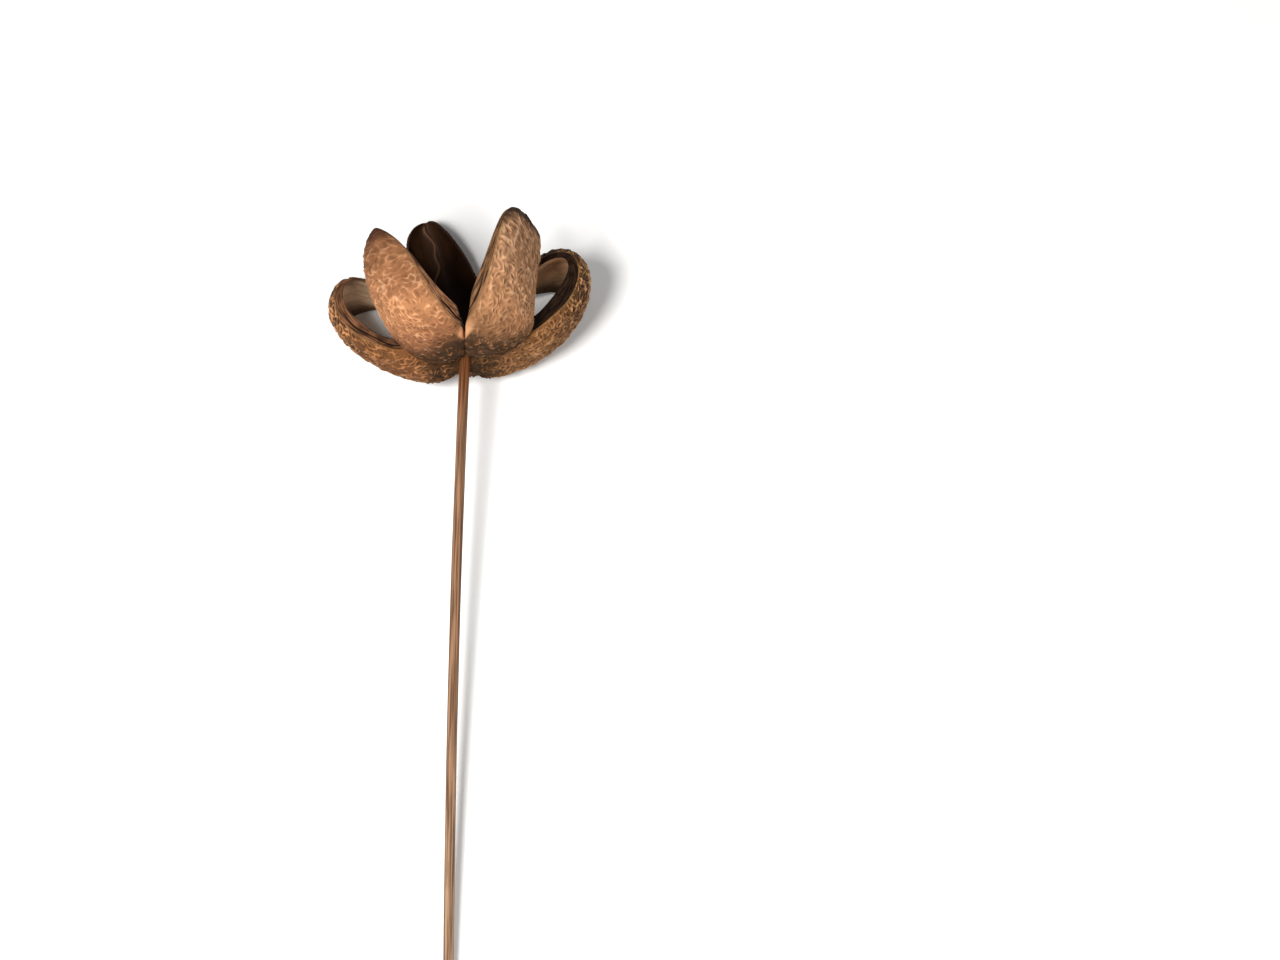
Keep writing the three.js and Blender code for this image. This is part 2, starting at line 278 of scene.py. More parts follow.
OLIVE_GAPS = dict(span=(0.2, 0.55), start=0.6, full=0.97)
SEAM_SPAN = (0.2, 0.9)
SEAM_SHARE = 0.8
TIP_FADE = 0.12
TIP_SHARE = 0.92
PIT_SPAN = (0.1, 0.8)
PIT_SHARE = 0.5
PIT_MOTTLE_SHARE = 0.4
RIND_BUMP = 0.00012
BUMP_OF_MOTTLES = 1.5
RIND_ROUGHNESS = dict(span=(0.1, 0.9), start=0.85, full=0.6)
STRAND_STIR = 1.8
STRAND_SPAN = (-0.4, 1.1)
LIP_PATCH_SPAN = (0.42, 0.68)
LIP_PATCH_SHARE = 0.5
LIP_TIP_SPAN = (0.8, 1.0)
LIP_TIP_SHARE = 0.7
CRACK_SPAN = (0.25, 0.8)
LIP_BUMP = 0.0003
LIP_ROUGHNESS = dict(span=(0.3, 0.7), start=0.85, full=0.65)
LIGHTER_SPAN = (0.1, 0.8)
LIGHTER_SHARE = 0.6
CLOUD_SPAN = (0.35, 0.7)
CLOUD_SHARE = 0.4
FAR_SHADE_SPAN = (0.15, 0.85)
FAR_SHADE_SHARE = 0.96
STREAK_SPAN = (0.5, 0.75)
STREAK_SHARE = 0.45
RIB_SPAN = (0.3, 0.95)
RIB_SHARE = 0.7
INSIDE_BUMP = 0.0001
INSIDE_ROUGHNESS = dict(span=(0.3, 0.7), start=0.45, full=0.6)
WARM_STRIPE_SPAN = (0.38, 0.64)
GREY_STRIPE_SPAN = (0.36, 0.62)
REED_GREYING = ((0.01, 0.15), (0.35, 1.0)) # the two stretches over which half of the warm colour goes
REED_GROOVES = dict(span=(0.1, 0.6), start=0.5, full=0.0)
BLOTCH_SPAN = (0.55, 0.75)
BLOTCH_SHARE = 0.5
REED_BUMP = 0.0001
REED_ROUGHNESS = dict(span=(0.3, 0.7), start=0.5, full=0.7)

# Light: two soft boxes that face one spot, and pale surroundings
LIT_SPOT = (0, 0.1, 0)
KEY_LIGHT = dict(place=(-0.5, -0.5, 1.25), size=0.5, power=33)
FRONT_LIGHT = dict(place=(0.4, -0.8, 1.1), size=0.6, power=8)
SURROUNDINGS = 0.26

# Camera: looks from the stem's side, below the pod's equator, through a long lens
VIEW_BELOW_EQUATOR = 23
VIEW_DISTANCE = 10
PICTURE_WIDTH = 0.4928
JUNCTION_PIXEL = (465, 354)
IMAGE_SIZE = (1280, 960)
SENSOR = 36
FLOOR_SIZE = 12


def smooth(x):
    x = np.clip(x, 0.0, 1.0)
    return x * x * (3 - 2 * x)


def mix(a, b, t):
    return a + (b - a) * t


def unit(v):
    return v / np.linalg.norm(v, axis=-1, keepdims=True)


# A smooth curve through three values, at 0, 0.5 and 1
def through(values, s):
    first, middle, last = values
    return first * (1 - s) * (1 - 2 * s) + 4 * middle * s * (1 - s) + last * s * (2 * s - 1)


# Slope of the keel above the plane square to the stem
def keel_slope(f, s):
    def ramp(x):
        return np.tanh((x - f["curl_at"]) / f["curl_over"])

    return f["start"] + f["climb"] * s + f["curl"] * (ramp(s) - ramp(0)) / (ramp(1) - ramp(0))


# Turns two directions towards each other's side by an angle in degrees
def turned(a, b, angle):
    cos, sin = np.cos(np.radians(angle))[..., None], np.sin(np.radians(angle))[..., None]
    return a * cos + b * sin, b * cos - a * sin


# Direction of the keel, the way from the keel to the mouth, and the way across
def keel_frame(f, s):
    azimuth = np.radians(f["azimuth"] - f["sway"] * s)
    outwards = np.stack([np.cos(azimuth), np.sin(azimuth), np.zeros_like(s)], -1)
    up = np.array([0.0, 0.0, 1.0])
    along, mouth = turned(outwards, up, keel_slope(f, s))
    along, across = turned(along, np.cross(along, mouth), f["bend"] * s ** 2)
    mouth, across = turned(mouth, across, through(f["roll"], s))
    return along, mouth, across


# Points on the keel
def keel_points(f, s):
    fine = np.linspace(0, 1, len(s) * KEEL_SUBSTEPS + 1)
    along = keel_frame(f, 0.5 * (fine[1:] + fine[:-1]))[0]
    steps = np.vstack([np.zeros(3), np.cumsum(along, 0)]) * f["length"] / (len(fine) - 1)
    points = np.stack([np.interp(s, fine, steps[:, axis]) for axis in range(3)], -1)
    return points - [0, 0, f["drop"]]


# Share of the full width or depth that a follicle has at one place
def fullness(f, s, at_centre, fullest):
    root = np.sqrt(1 - (1 - np.clip(s / ROOT_ROUNDING, 0, 1)) ** 2)
    before = root * (1 - (1 - at_centre) * (1 - s / fullest) ** 2)
    after = (1 - np.clip((s - fullest) / (1 - fullest), 0, 1) ** f["taper"]) ** f["bluntness"]
    return np.where(s < fullest, before, after)


# The planes that bound a follicle, as their normals pointing towards it
def seams_of(name):
    names = list(FOLLICLES)
    place = names.index(name)
    own = FOLLICLES[name]["azimuth"]
    following = FOLLICLES[names[(place + 1) % len(names)]]["azimuth"]
    previous = FOLLICLES[names[place - 1]]["azimuth"]
    following += 360 if following < own else 0
    previous -= 360 if previous > own else 0
    high = math.radians(0.5 * (own + following))
    low = math.radians(0.5 * (own + previous))
    return [np.array([-math.sin(low), math.cos(low), 0]), np.array([math.sin(high), -math.cos(high), 0])]


# Moves points back from the planes between a follicle and its neighbours
def pressed(points, s, wall, seams):
    fade = smooth((PRESSED_UNTIL + PRESSED_FADE - s) / PRESSED_FADE)
    gap = mix(-ROOT_OVERLAP, SEAM_GAP, smooth((s - GROWN_TOGETHER) / PARTING))
    for seam in seams:
        distance = points @ seam - gap - wall
        softened = 0.5 * (distance + np.sqrt(distance ** 2 + PRESSED_SOFTNESS ** 2))
        points = points + seam * ((softened - distance) * fade)[..., None]
    return points


# The rows of a follicle: places along it, with the keel, the frame, the size and the wall there
class Boat:
    def __init__(self, name):
        f = FOLLICLES[name]
        t = np.arange(1, ROWS) / ROWS
        s = mix(t, 0.5 - 0.5 * np.cos(math.pi * t), ENDS_CLOSER)[:, None]
        self.f = f
        self.s = s
        self.down = s * f["length"]
        self.seams = seams_of(name)
        self.mouth, self.across = (v[:, None] for v in keel_frame(f, s[:, 0])[1:])
        self.keel = keel_points(f, s[:, 0])[:, None]
        self.width = f["half_width"] * fullness(f, s, f["root_width"], f["widest"])
        self.depth = f["depth"] * fullness(f, s, DEPTH_AT_CENTRE, DEEPEST)
        thinned = smooth((s - THINNING_FROM) / (THINNED_BY - THINNING_FROM))
        wall = np.minimum(mix(WALL, WALL_AT_TIP, thinned), WALL_OF_WIDTH * self.width)
        self.wall = np.minimum(wall, WALL_OF_DEPTH * self.depth)
        self.wrap = math.radians(f["wrap"])

    # Angle, place, tangent and way out, at a share of the way round the section from lip to lip
    def section(self, share):
        angle = self.wrap * (2 * share - 1)
        across_per_angle = self.width / math.sin(self.wrap)
        height_per_angle = self.depth / (1 - math.cos(self.wrap))
        spot = np.stack([across_per_angle * np.sin(angle), height_per_angle * (1 - np.cos(angle))], -1)
        tangent = unit(np.stack([across_per_angle * np.cos(angle), height_per_angle * np.sin(angle)], -1))
        return angle, spot, tangent, np.stack([tangent[..., 1], -tangent[..., 0]], -1)

    def placed(self, spot):
        return self.keel + self.across * spot[..., :1] + self.mouth * spot[..., 1:]

    def pressed(self, points, wall):
        return pressed(points, self.s + 0 * wall, wall, self.seams)


# Coarse relief that the solids have as well
def coarse_relief(boat, angle, point):
    k = 2 * math.pi / KNOB_PITCH
    x, y, z = point[..., 0], point[..., 1], point[..., 2]

    def wander(v):
        return KNOB_WANDER * np.sin(0.5 * k * v)

    knobs = np.sin(k * x + wander(z)) * np.sin(k * z + wander(y)) + KNOB_STRIPES * np.sin(k * y + wander(x))
    turns = 2 * math.pi * boat.down / WRINKLE_PITCH + WRINKLE_BEND * np.cos(2 * angle)
    near_tip = smooth((boat.s - WRINKLED_FROM) / (WRINKLED_BY - WRINKLED_FROM))
    along_fade = smooth(boat.s / SMOOTH_ROOT) * smooth((1 - boat.s) / SMOOTH_TIP)
    edge_fade = smooth((1 - np.abs(angle) / boat.wrap) / SMOOTH_EDGE)
    return along_fade * edge_fade * mix(KNOB_HEIGHT * knobs, WRINKLE_HEIGHT * np.sin(turns), near_tip)


# Seeded noise on a sheet, of which one band of frequencies is kept. Each round of settling sharpens it.
def banded_noise(height, width, band_of, settling, seed):
    shape = (int(height / CELL) + 2, int(width / CELL) + 2)
    band = band_of(np.fft.fftfreq(shape[0], CELL)[:, None], np.fft.rfftfreq(shape[1], CELL)[None, :])
    field = np.random.default_rng(seed).standard_normal(shape)
    field = np.fft.irfft2(np.fft.rfft2(field) * band, shape)
    for _ in range(settling):
        field = np.tanh(LINE_GAIN * field / field.std())
        field = np.fft.irfft2(np.fft.rfft2(field) * band, shape)
    return field / field.std()


# Worm-like lines of about one pitch, stretched down or across the sheet
def worm_lines(height, width, pitch, seed, stretch_down=1.0, stretch_across=1.0):
    def band(down, right):
        frequency = np.hypot(down * stretch_down, right * stretch_across)
        return np.exp(-((frequency * pitch - 1) / LINE_SPREAD) ** 2)

    return banded_noise(height, width, band, LINE_SETTLING, seed)


def soft_patches(height, width, size, seed):
    def band(down, right):
        return np.exp(-(down ** 2 + right ** 2) * size ** 2)

    return banded_noise(height, width, band, 0, seed)


# Reads a field at places given in metres, between its cells
def read_field(field, down, right):
    down = np.clip(down / CELL, 0, field.shape[0] - LAST_CELL)
    right = np.clip(right / CELL, 0, field.shape[1] - LAST_CELL)
    i, j = down.astype(int), right.astype(int)
    u, v = down - i, right - j
    top = mix(field[i, j], field[i, j + 1], v)
    bottom = mix(field[i + 1, j], field[i + 1, j + 1], v)
    return mix(top, bottom, u)


# How far the lying stem slopes down to its cut end
def stem_slope():
    return math.asin((AXIS_HEIGHT - STEM_RADIUS + REST_FLAT) / STEM_LENGTH)


# Lays upright points down on the table: the back turns down and the stem's end comes to rest
def laid_down(points):
    turn = stem_slope() - math.pi / 2
    x, y, z = points[..., 0], points[..., 1], points[..., 2]
    laid_y = y * math.cos(turn) - z * math.sin(turn)
    laid_z = y * math.sin(turn) + z * math.cos(turn) + AXIS_HEIGHT
    return np.stack([x, laid_y, np.maximum(laid_z, 0)], -1)


# A closed skin from a grid of points: columns run round, the first and last row close on a pole
def skin(name, grid, poles, marks, zones, materials):
    rows, columns = grid.shape[:2]
    points = np.vstack([grid.reshape(-1, 3), poles])
    index = np.arange(rows * columns).reshape(rows, columns)
    following = np.roll(index, -1, 1)
    quads = np.stack([index[:-1], following[:-1], following[1:], index[1:]], -1).reshape(-1, 4)
    first, last = rows * columns, rows * columns + 1
    root = np.stack([following[0], index[0], np.full(columns, first)], -1)
    tip = np.stack([index[-1], following[-1], np.full(columns, last)], -1)
    loops = np.concatenate([quads.ravel(), root.ravel(), tip.ravel()])
    sizes = np.concatenate([np.full(len(quads), 4), np.full(2 * columns, 3)])
    mesh = bpy.data.meshes.new(name)
    mesh.vertices.add(len(points))
    mesh.vertices.foreach_set("co", points.ravel())
    mesh.loops.add(len(loops))
    mesh.loops.foreach_set("vertex_index", loops)
    mesh.polygons.add(len(sizes))
    mesh.polygons.foreach_set("loop_start", np.concatenate([[0], np.cumsum(sizes)[:-1]]))
    mesh.polygons.foreach_set("use_smooth", np.ones(len(sizes), bool))
    face_zones = np.concatenate([np.tile(zones, rows - 1), zones, zones])
    mesh.polygons.foreach_set("material_index", face_zones)
    mesh.update(calc_edges=True)
    mesh.validate()
    for mark, values in marks.items():
        if values.ndim == 3:
            layer = mesh.attributes.new(mark, "FLOAT_VECTOR", "POINT")
            flat = np.vstack([values.reshape(-1, 3), values[0].mean(0), values[-1].mean(0)])
            layer.data.foreach_set("vector", flat.ravel())
        else:
            layer = mesh.attributes.new(mark, "FLOAT", "POINT")
            flat = np.concatenate([values.ravel(), [values[0].mean(), values[-1].mean()]])
            layer.data.foreach_set("value", flat)
    for material in materials:
        mesh.materials.append(material)
    piece = bpy.data.objects.new(name, mesh)
    bpy.context.scene.collection.objects.link(piece)
    return piece


# The rind's relief: its height, and marks for how much of each place is ridge, pit or pressed flat
def rind_relief(boat, share, angle, spot, seed):
    steps = np.linalg.norm(np.diff(spot, axis=1), axis=-1)
    arc = np.concatenate([np.zeros_like(boat.s), np.cumsum(steps, 1)], 1)
    arc = arc - arc[:, RIND_STEPS // 2, None]
    half = np.abs(arc).max()
    sheet = (boat.f["length"], 2 * half)
    straight = (boat.down + 0 * arc, arc + half)
    warps = [read_field(soft_patches(*sheet, WARP_SIZE, seed + k), *straight) for k in (8, 9)]
    places = (boat.down + WARP * warps[0], arc + half + WARP * warps[1])
    calm = read_field(soft_patches(*sheet, CALM_SIZE, seed + 10), *places)
    worms = read_field(worm_lines(*sheet, WORM_PITCH, seed), *places)
    across = read_field(worm_lines(*sheet, ACROSS_PITCH, seed + 1, 1, ACROSS_STRETCH), *places)
    coarse = read_field(worm_lines(*sheet, ROOT_PITCH, seed + 2), *places)
    swell = read_field(soft_patches(*sheet, SWELL_SIZE, seed + 3), *places)
    pits = read_field(soft_patches(*sheet, PIT_SIZE, seed + 4), *places)
    near_tip = smooth((boat.s - ACROSS_FROM) / (ACROSS_BY - ACROSS_FROM))
    near_edge = smooth((np.abs(2 * share - 1) - ACROSS_EDGE) / (1 - ACROSS_EDGE))
    near_root = smooth((ROOT_UNTIL - boat.s) / ROOT_FADE)
    field = mix(mix(worms, across, np.maximum(near_tip, near_edge)), coarse, near_root)
    ridge = np.exp(-(field / LINE_WIDTH) ** 2) * smooth(LINE_SHARE + SWELL * swell)
    hollow = smooth((np.abs(field) - HOLLOW_FROM) / HOLLOW_SOFTNESS)
    # The pit mark sets both the depth of a place and how much painted shade it gets
    pit = np.maximum(smooth((pits - PIT_RARITY) / PIT_SOFTNESS), HOLLOW_DEPTH_AND_SHADE * hollow)
    plain = boat.placed(spot)
    moved = np.linalg.norm(boat.pressed(plain, 0 * arc) - plain, axis=-1)
    margin = smooth((np.abs(2 * share - 1) - MARGIN_SMOOTH) / MARGIN_FADE)
    margin = margin * smooth((boat.f["smooth_until"] - boat.s) / MARGIN_FADE)
    flattened = np.maximum(smooth(moved / PRESSED_SMOOTH), margin)
    rough = (1 - flattened) * smooth((1 - boat.s) / TIP_CLOSING) * (1 - EDGE_CALM * near_edge)
    worm_height = boat.f["rugged"] * mix(WORM_HEIGHT, ROOT_HEIGHT, near_root)
    worm_height = worm_height * (1 + CALM * np.clip(calm, -1, 1))
    height = rough * (worm_height * (ridge - 0.5) - PIT_DEPTH * pit)
    height = height + coarse_relief(boat, angle, plain)
    return height, arc, {"ridge": ridge * (1 - flattened), "pit": pit * rough, "flat": flattened}


# The smooth inside, with faint folds and a midrib that wanders
def inside_relief(boat, share, angle, seed, rib_height):
    place = boat.width * np.sin(angle)
    sheet = (boat.f["length"], 2 * boat.f["half_width"])
    folds = read_field(worm_lines(*sheet, FOLD_PITCH, seed, FOLD_STRETCH, 1), boat.down + 0 * place,
                       place + boat.f["half_width"])
    wander = np.sin(RIB_TURNS * boat.s + seed) + RIB_SECOND * np.sin(RIB_QUICKER * RIB_TURNS * boat.s)
    rib = np.exp(-((place - RIB_WANDER * wander) / RIB_HALF_WIDTH) ** 2)
    rib = rib * smooth((boat.s - RIB_FROM) / RIB_FADE) * smooth((1 - boat.s) / TIP_CLOSING)
    edge = smooth((1 - np.abs(2 * share - 1)) / FOLD_EDGE)
    fold_height = FOLD_HEIGHT * folds * edge * smooth((1 - boat.s) / FOLD_EDGE)
    return -boat.wall - rib_height * rib + fold_height, rib, place


# A split edge, from the rind to the inside: a rolled rind edge, a crack, and strands of the inner layer
def split_edge(boat, start, end, way_out, crack_depth, seed):
    line = end - start
    normal = unit(np.stack([line[..., 1], -line[..., 0]], -1))
    normal = normal * np.sign((normal * way_out).sum(-1, keepdims=True))
    v = (np.arange(1, LIP_STEPS + 1) / (LIP_STEPS + 1))[None, :]
    breadth = np.linalg.norm(line, axis=-1).max()
    field = worm_lines(boat.f["length"], breadth, STRAND_PITCH, seed, STRAND_STRETCH, 1)
    strands = read_field(field, boat.down + 0 * v, v * breadth + 0 * boat.s)
    strand = smooth(0.5 + strands / STRAND_SOFTNESS)
    crack_at = CRACK_AT + CRACK_WANDER * np.sin(CRACK_TURNS * boat.s + seed)
    crack = np.exp(-((v - crack_at) / CRACK_WIDTH) ** 2)
    crack = crack * smooth((boat.s - CRACK_FROM) / CRACK_FADE) * smooth((CRACK_UNTIL - boat.s) / CRACK_FADE)
    roll = np.sin(math.pi * np.clip(v / EDGE_ROLL_WIDTH, 0, 1))
    height = EDGE_ROLL * roll + STRAND_HEIGHT * (strand - 0.5) * np.sin(math.pi * v) - crack_depth * crack
    height = height * (boat.wall / WALL)
    points = start[:, None] + line[:, None] * v[..., None] + normal[:, None] * height[..., None]
    return points, {"crack": crack, "strand": strand}, v


# One follicle: rind, split edges and inside, as one closed grid
def follicle(name, seed, crack_depth, rib_height, materials):
    boat = Boat(name)
    s = boat.s
    share = np.linspace(0, 1, RIND_STEPS + 1)[None, :]
    angle, spot, tangent, outward = boat.section(share)
    height, arc, rind_marks = rind_relief(boat, share, angle, spot, seed)
    rind = spot + outward * height[..., None]

    inside_share = np.linspace(1, 0, INSIDE_STEPS + 1)[None, :]
    inside_angle, inside_spot, inside_tangent, inside_outward = boat.section(inside_share)
    inside_height, rib, rib_place = inside_relief(boat, inside_share, inside_angle, seed + 5, rib_height)
    reach = mix(boat.f["lip"], LIP_REACH_AT_TIP, s ** boat.f["lip_late"]) * (boat.wall / WALL)
    past = reach * np.abs(2 * inside_share - 1) ** LIP_SHARPNESS * np.sign(inside_angle)
    inside = inside_spot + inside_outward * inside_height[..., None] + inside_tangent * past[..., None]

    high_edge, high_marks, v = split_edge(
        boat, rind[:, -1], inside[:, 0], tangent[:, -1], crack_depth, seed + 6)
    low_edge, low_marks, v = split_edge(
        boat, rind[:, 0], inside[:, -1], -tangent[:, 0], crack_depth, seed + 7)
    flat = np.concatenate([rind, high_edge, inside, low_edge[:, ::-1]], 1)
    sunk = np.concatenate([0 * arc, boat.wall * v, boat.wall + 0 * past, boat.wall * v[:, ::-1]], 1)
    grid = laid_down(boat.pressed(boat.placed(flat), sunk))

    blank = [np.zeros((len(s), count)) for count in (RIND_STEPS + 1, LIP_STEPS, INSIDE_STEPS + 1, LIP_STEPS)]

    def marked(rind_part=blank[0], high_part=blank[1], inside_part=blank[2], low_part=blank[3]):
        return np.concatenate([rind_part, high_part, inside_part, low_part[:, ::-1]], 1)

    breadth = np.linalg.norm(inside[:, :1] - rind[:, -1:], axis=-1) * v
    side = marked(2 * share - 1 + blank[0], 1 + blank[1], 2 * inside_share - 1 + blank[2], blank[3] - 1)
    grain_across = marked(arc, arc[:, -1:] + breadth, rib_place, arc[:, :1] - breadth)
    marks = {mark: marked(values) for mark, values in rind_marks.items()}
    for mark in high_marks:
        marks[mark] = marked(high_part=high_marks[mark], low_part=low_marks[mark])
    marks["rib"] = marked(inside_part=rib)
    marks["along"] = s + 0 * side
    marks["side"] = side
    marks["grain"] = np.stack([grain_across, boat.down + 0 * side, 0 * side], -1)
    zones = np.repeat([0, 1, 2, 1], (RIND_STEPS, LIP_STEPS + 1, INSIDE_STEPS, LIP_STEPS + 1))
    ends = pressed(boat.keel[[0, -1], 0], s[[0, -1], 0], 0, boat.seams)
    return skin("pod_" + name, grid, laid_down(ends), marks, zones, materials)


# The low boss round the stem's hole, with one lobe for each follicle
def boss(materials):
    polar = (np.arange(1, BOSS_RINGS) * math.pi / BOSS_RINGS)[:, None]
    turn = (np.arange(BOSS_SIDES) * 2 * math.pi / BOSS_SIDES)[None, :]
    lobes = np.cos(len(FOLLICLES) * (turn - math.radians(FOLLICLES["back"]["azimuth"])))
    field = worm_lines(math.pi * BOSS_RADIUS, 2 * math.pi * BOSS_RADIUS, ROOT_PITCH, BOSS_SEED)
    ridge = np.exp(-(read_field(field, BOSS_RADIUS * polar, BOSS_RADIUS * turn) / LINE_WIDTH) ** 2)
    radius = BOSS_RADIUS * (1 + BOSS_LOBE * lobes) * np.sin(polar) + BOSS_RIDGES * ROOT_HEIGHT * ridge
    height = -BOSS_HEIGHT * np.cos(polar) + 0 * turn
    grid = np.stack([radius * np.cos(turn), radius * np.sin(turn), height], -1)
    poles = np.array([[0, 0, -BOSS_HEIGHT], [0, 0, BOSS_HEIGHT]])
    marks = {mark: 0 * ridge for mark in ("pit", "flat", "along", "side")}
    marks["ridge"] = ridge
    marks["grain"] = grid
    zones = np.zeros(BOSS_SIDES, int)
    laid, ends = laid_down(grid + BOSS_MIDDLE), laid_down(poles + BOSS_MIDDLE)
    return skin("pod_boss", laid, ends, marks, zones, materials)


# The reed stem, with fine ribs that run its whole length
def stem(materials):
    z = np.linspace(STEM_IN_POD, -STEM_LENGTH, STEM_ROWS)[:, None]
    turn = (np.arange(STEM_SIDES) * 2 * math.pi / STEM_SIDES)[None, :]
    drift = sum(high * np.sin(turns * z + start) for high, turns, start in STEM_DRIFT)
    ribs = (np.cos(STEM_RIBS * turn + drift) + np.cos(STEM_RIBS_BESIDE * turn - 2 * drift)) / 2
    quick, slow = STEM_UNEVEN_TURNS
    uneven = np.sin(quick * z + STEM_UNEVEN_ROUND * np.cos(turn)) * np.sin(slow * z)
    radius = STEM_RADIUS - STEM_RIB_DEPTH * (1 - ribs) / 2 + STEM_UNEVEN * uneven
    lean = STEM_LEAN * z + STEM_BOW * z ** 2
    grid = np.stack([lean + radius * np.cos(turn), radius * np.sin(turn), z + 0 * turn], -1)
    poles = np.stack([lean[[0, -1], 0], [0, 0], z[[0, -1], 0]], -1)
    even = STEM_RADIUS + 0 * z
    straight = np.stack([even * np.cos(turn), even * np.sin(turn), z + 0 * turn], -1)
    marks = {
        "ridge": (1 + ribs)[:, ::-1] / 2,
        "along": -z / STEM_LENGTH + 0 * turn,
        "grain": straight[:, ::-1],
    }
    zones = np.zeros(STEM_SIDES, int)
    return skin("stem_reed", laid_down(grid[:, ::-1]), laid_down(poles), marks, zones, materials)


# sRGB hex to a linear colour
def colour(code):
    parts = [int(code[i:i + 2], 16) / 255 for i in (0, 2, 4)]
    return (*[c / 12.92 if c <= 0.04045 else ((c + 0.055) / 1.055) ** 2.4 for c in parts], 1)


# A material under construction
class Paint:
    def __init__(self, name):
        self.material = bpy.data.materials.new(name)
        self.material.use_nodes = True
        self.tree = self.material.node_tree
        self.shader = self.tree.nodes["Principled BSDF"]

    def add(self, kind, **settings):
        node = self.tree.nodes.new(kind)
        for key, value in settings.items():
            setattr(node, key, value)
        return node

    def plug(self, socket, value):
        if isinstance(value, bpy.types.NodeSocket):
            self.tree.links.new(value, socket)
        else:
            socket.default_value = value

    def mark(self, name, output="Fac"):
        return self.add("ShaderNodeAttribute", attribute_name=name).outputs[output]

    def place(self):
        return self.add("ShaderNodeTexCoord").outputs["Object"]

    def stretch(self, vector, factors):
        node = self.add("ShaderNodeVectorMath", operation="MULTIPLY")
        self.plug(node.inputs[0], vector)
        self.plug(node.inputs[1], factors)
        return node.outputs["Vector"]

    def noise(self, vector, scale, detail=3.0, distortion=0.0):
        node = self.add("ShaderNodeTexNoise")
        self.plug(node.inputs["Vector"], vector)
        self.plug(node.inputs["Scale"], scale)
        self.plug(node.inputs["Detail"], detail)
        self.plug(node.inputs["Distortion"], distortion)
        return node.outputs["Fac"]

    def maths(self, operation, a, b=0.0):
        node = self.add("ShaderNodeMath", operation=operation)
        self.plug(node.inputs[0], a)
        self.plug(node.inputs[1], b)
        return node.outputs["Value"]

    # Goes smoothly from start to full while the value goes over the span
    def rise(self, value, span, full=1.0, start=0.0):
        node = self.add("ShaderNodeMapRange", interpolation_type="SMOOTHSTEP")
        for socket, number in zip(node.inputs, (value, *span, start, full)):
            self.plug(socket, number)
        return node.outputs["Result"]

    # The value, moved up and down by a noise
    def stirred(self, value, noise, amount):
        swing = self.maths("MULTIPLY", self.maths("SUBTRACT", noise, 0.5), amount)
        return self.maths("ADD", value, swing)

    def blend(self, factor, a, b):
        node = self.add("ShaderNodeMix", data_type="RGBA")
        self.plug(node.inputs["Factor"], factor)
        self.plug([i for i in node.inputs if i.name == "A" and i.type == "RGBA"][0], a)
        self.plug([i for i in node.inputs if i.name == "B" and i.type == "RGBA"][0], b)
        return [o for o in node.outputs if o.type == "RGBA"][0]

    def bump(self, height, distance):
        node = self.add("ShaderNodeBump")
        self.plug(node.inputs["Height"], height)
        self.plug(node.inputs["Distance"], distance)
        self.plug(self.shader.inputs["Normal"], node.outputs["Normal"])

    def finish(self, base, roughness, sheen):
        self.plug(self.shader.inputs["Base Color"], base)
        self.plug(self.shader.inputs["Roughness"], roughness)
        self.plug(self.shader.inputs["Specular IOR Level"], sheen)
        return self.material


# Rough rind: ridges of two hues, paler partly by painted light on their crests, with painted shade in the thin
# grooves between them, olive round the stem and dark at the tip
def rind_paint(name, look):
    ground, ridge, warm_ridge, patch, shade, seam = (colour(hue) for hue in look["rind"])
    mottle_and_shade = look["mottle_and_shade"]
    p = Paint(name)
    place = p.place()
    large = p.noise(place, **PATCHES)
    medium = p.noise(place, **MOTTLES)
    fine = p.noise(place, **SPECKS)
    raised = p.stirred(p.mark("ridge"), fine, RIDGE_STIR)
    along = p.stirred(p.mark("along"), large, ALONG_STIR)

    base = p.blend(p.rise(large, PATCH_SPAN, PATCH_SHARE * mottle_and_shade), ground, patch)
    tops = p.blend(p.rise(p.noise(place, **HUES), WARM_SPAN), ridge, warm_ridge)
    # Paler on the ridges: partly their own colour, partly painted light on the crests
    base = p.blend(p.rise(raised, RIDGE_SPAN, RIDGE_SHARE), base, tops)
    # Painted shade in the grooves between the ridges
    base = p.blend(p.rise(raised, GROOVE_SHADE_SPAN, GROOVE_SHADE_SHARE * mottle_and_shade), base, shade)
    base = p.blend(p.rise(medium, MOTTLE_SPAN, MOTTLE_SHARE * mottle_and_shade), base, shade)
    # Redder and darker towards the stem: partly its own redder tone, partly painted shade on the lower part
    base = p.blend(p.rise(along, LOW_SPAN, LOW_SHARE), base, patch)
    base = p.blend(p.rise(along, TOP_SPAN, look["top_shade"]), base, shade)
    # Olive and darker at the split edges: partly their own olive tone, partly painted shade where the rind
    # turns away
    at_margin = p.rise(p.maths("ABSOLUTE", p.mark("side")), MARGIN_SPAN, MARGIN_SHARE)
    base = p.blend(at_margin, base, colour(MARGIN_OLIVE))

    olive = p.blend(p.rise(raised, OLIVE_RIDGE_SPAN), colour(OLIVE), colour(OLIVE_RIDGE))
    near_stem = p.rise(along, (look["olive"], OLIVE_FULL * look["olive"]))
    near_stem = p.maths("MULTIPLY", near_stem, p.rise(medium, **OLIVE_GAPS))
    base = p.blend(near_stem, base, olive)
    base = p.blend(p.rise(p.mark("flat"), SEAM_SPAN, SEAM_SHARE), base, seam)

    towards_tip = p.maths("ADD", along, p.maths("MULTIPLY", p.mark("side"), look["dark_side"]))
    at_tip = p.rise(towards_tip, (look["dark_from"], look["dark_from"] + TIP_FADE), TIP_SHARE)
    base = p.blend(at_tip, base, colour(TIP_BROWN))
    # Painted shade in the pits and in the hollows between the ridges
    in_pit = p.rise(p.mark("pit"), PIT_SPAN, PIT_SHARE + PIT_MOTTLE_SHARE * mottle_and_shade)
    base = p.blend(in_pit, base, shade)
    p.bump(p.maths("ADD", fine, p.maths("MULTIPLY", medium, BUMP_OF_MOTTLES)), RIND_BUMP)
    return p.finish(base, p.rise(raised, **RIND_ROUGHNESS), RIND_SHEEN)
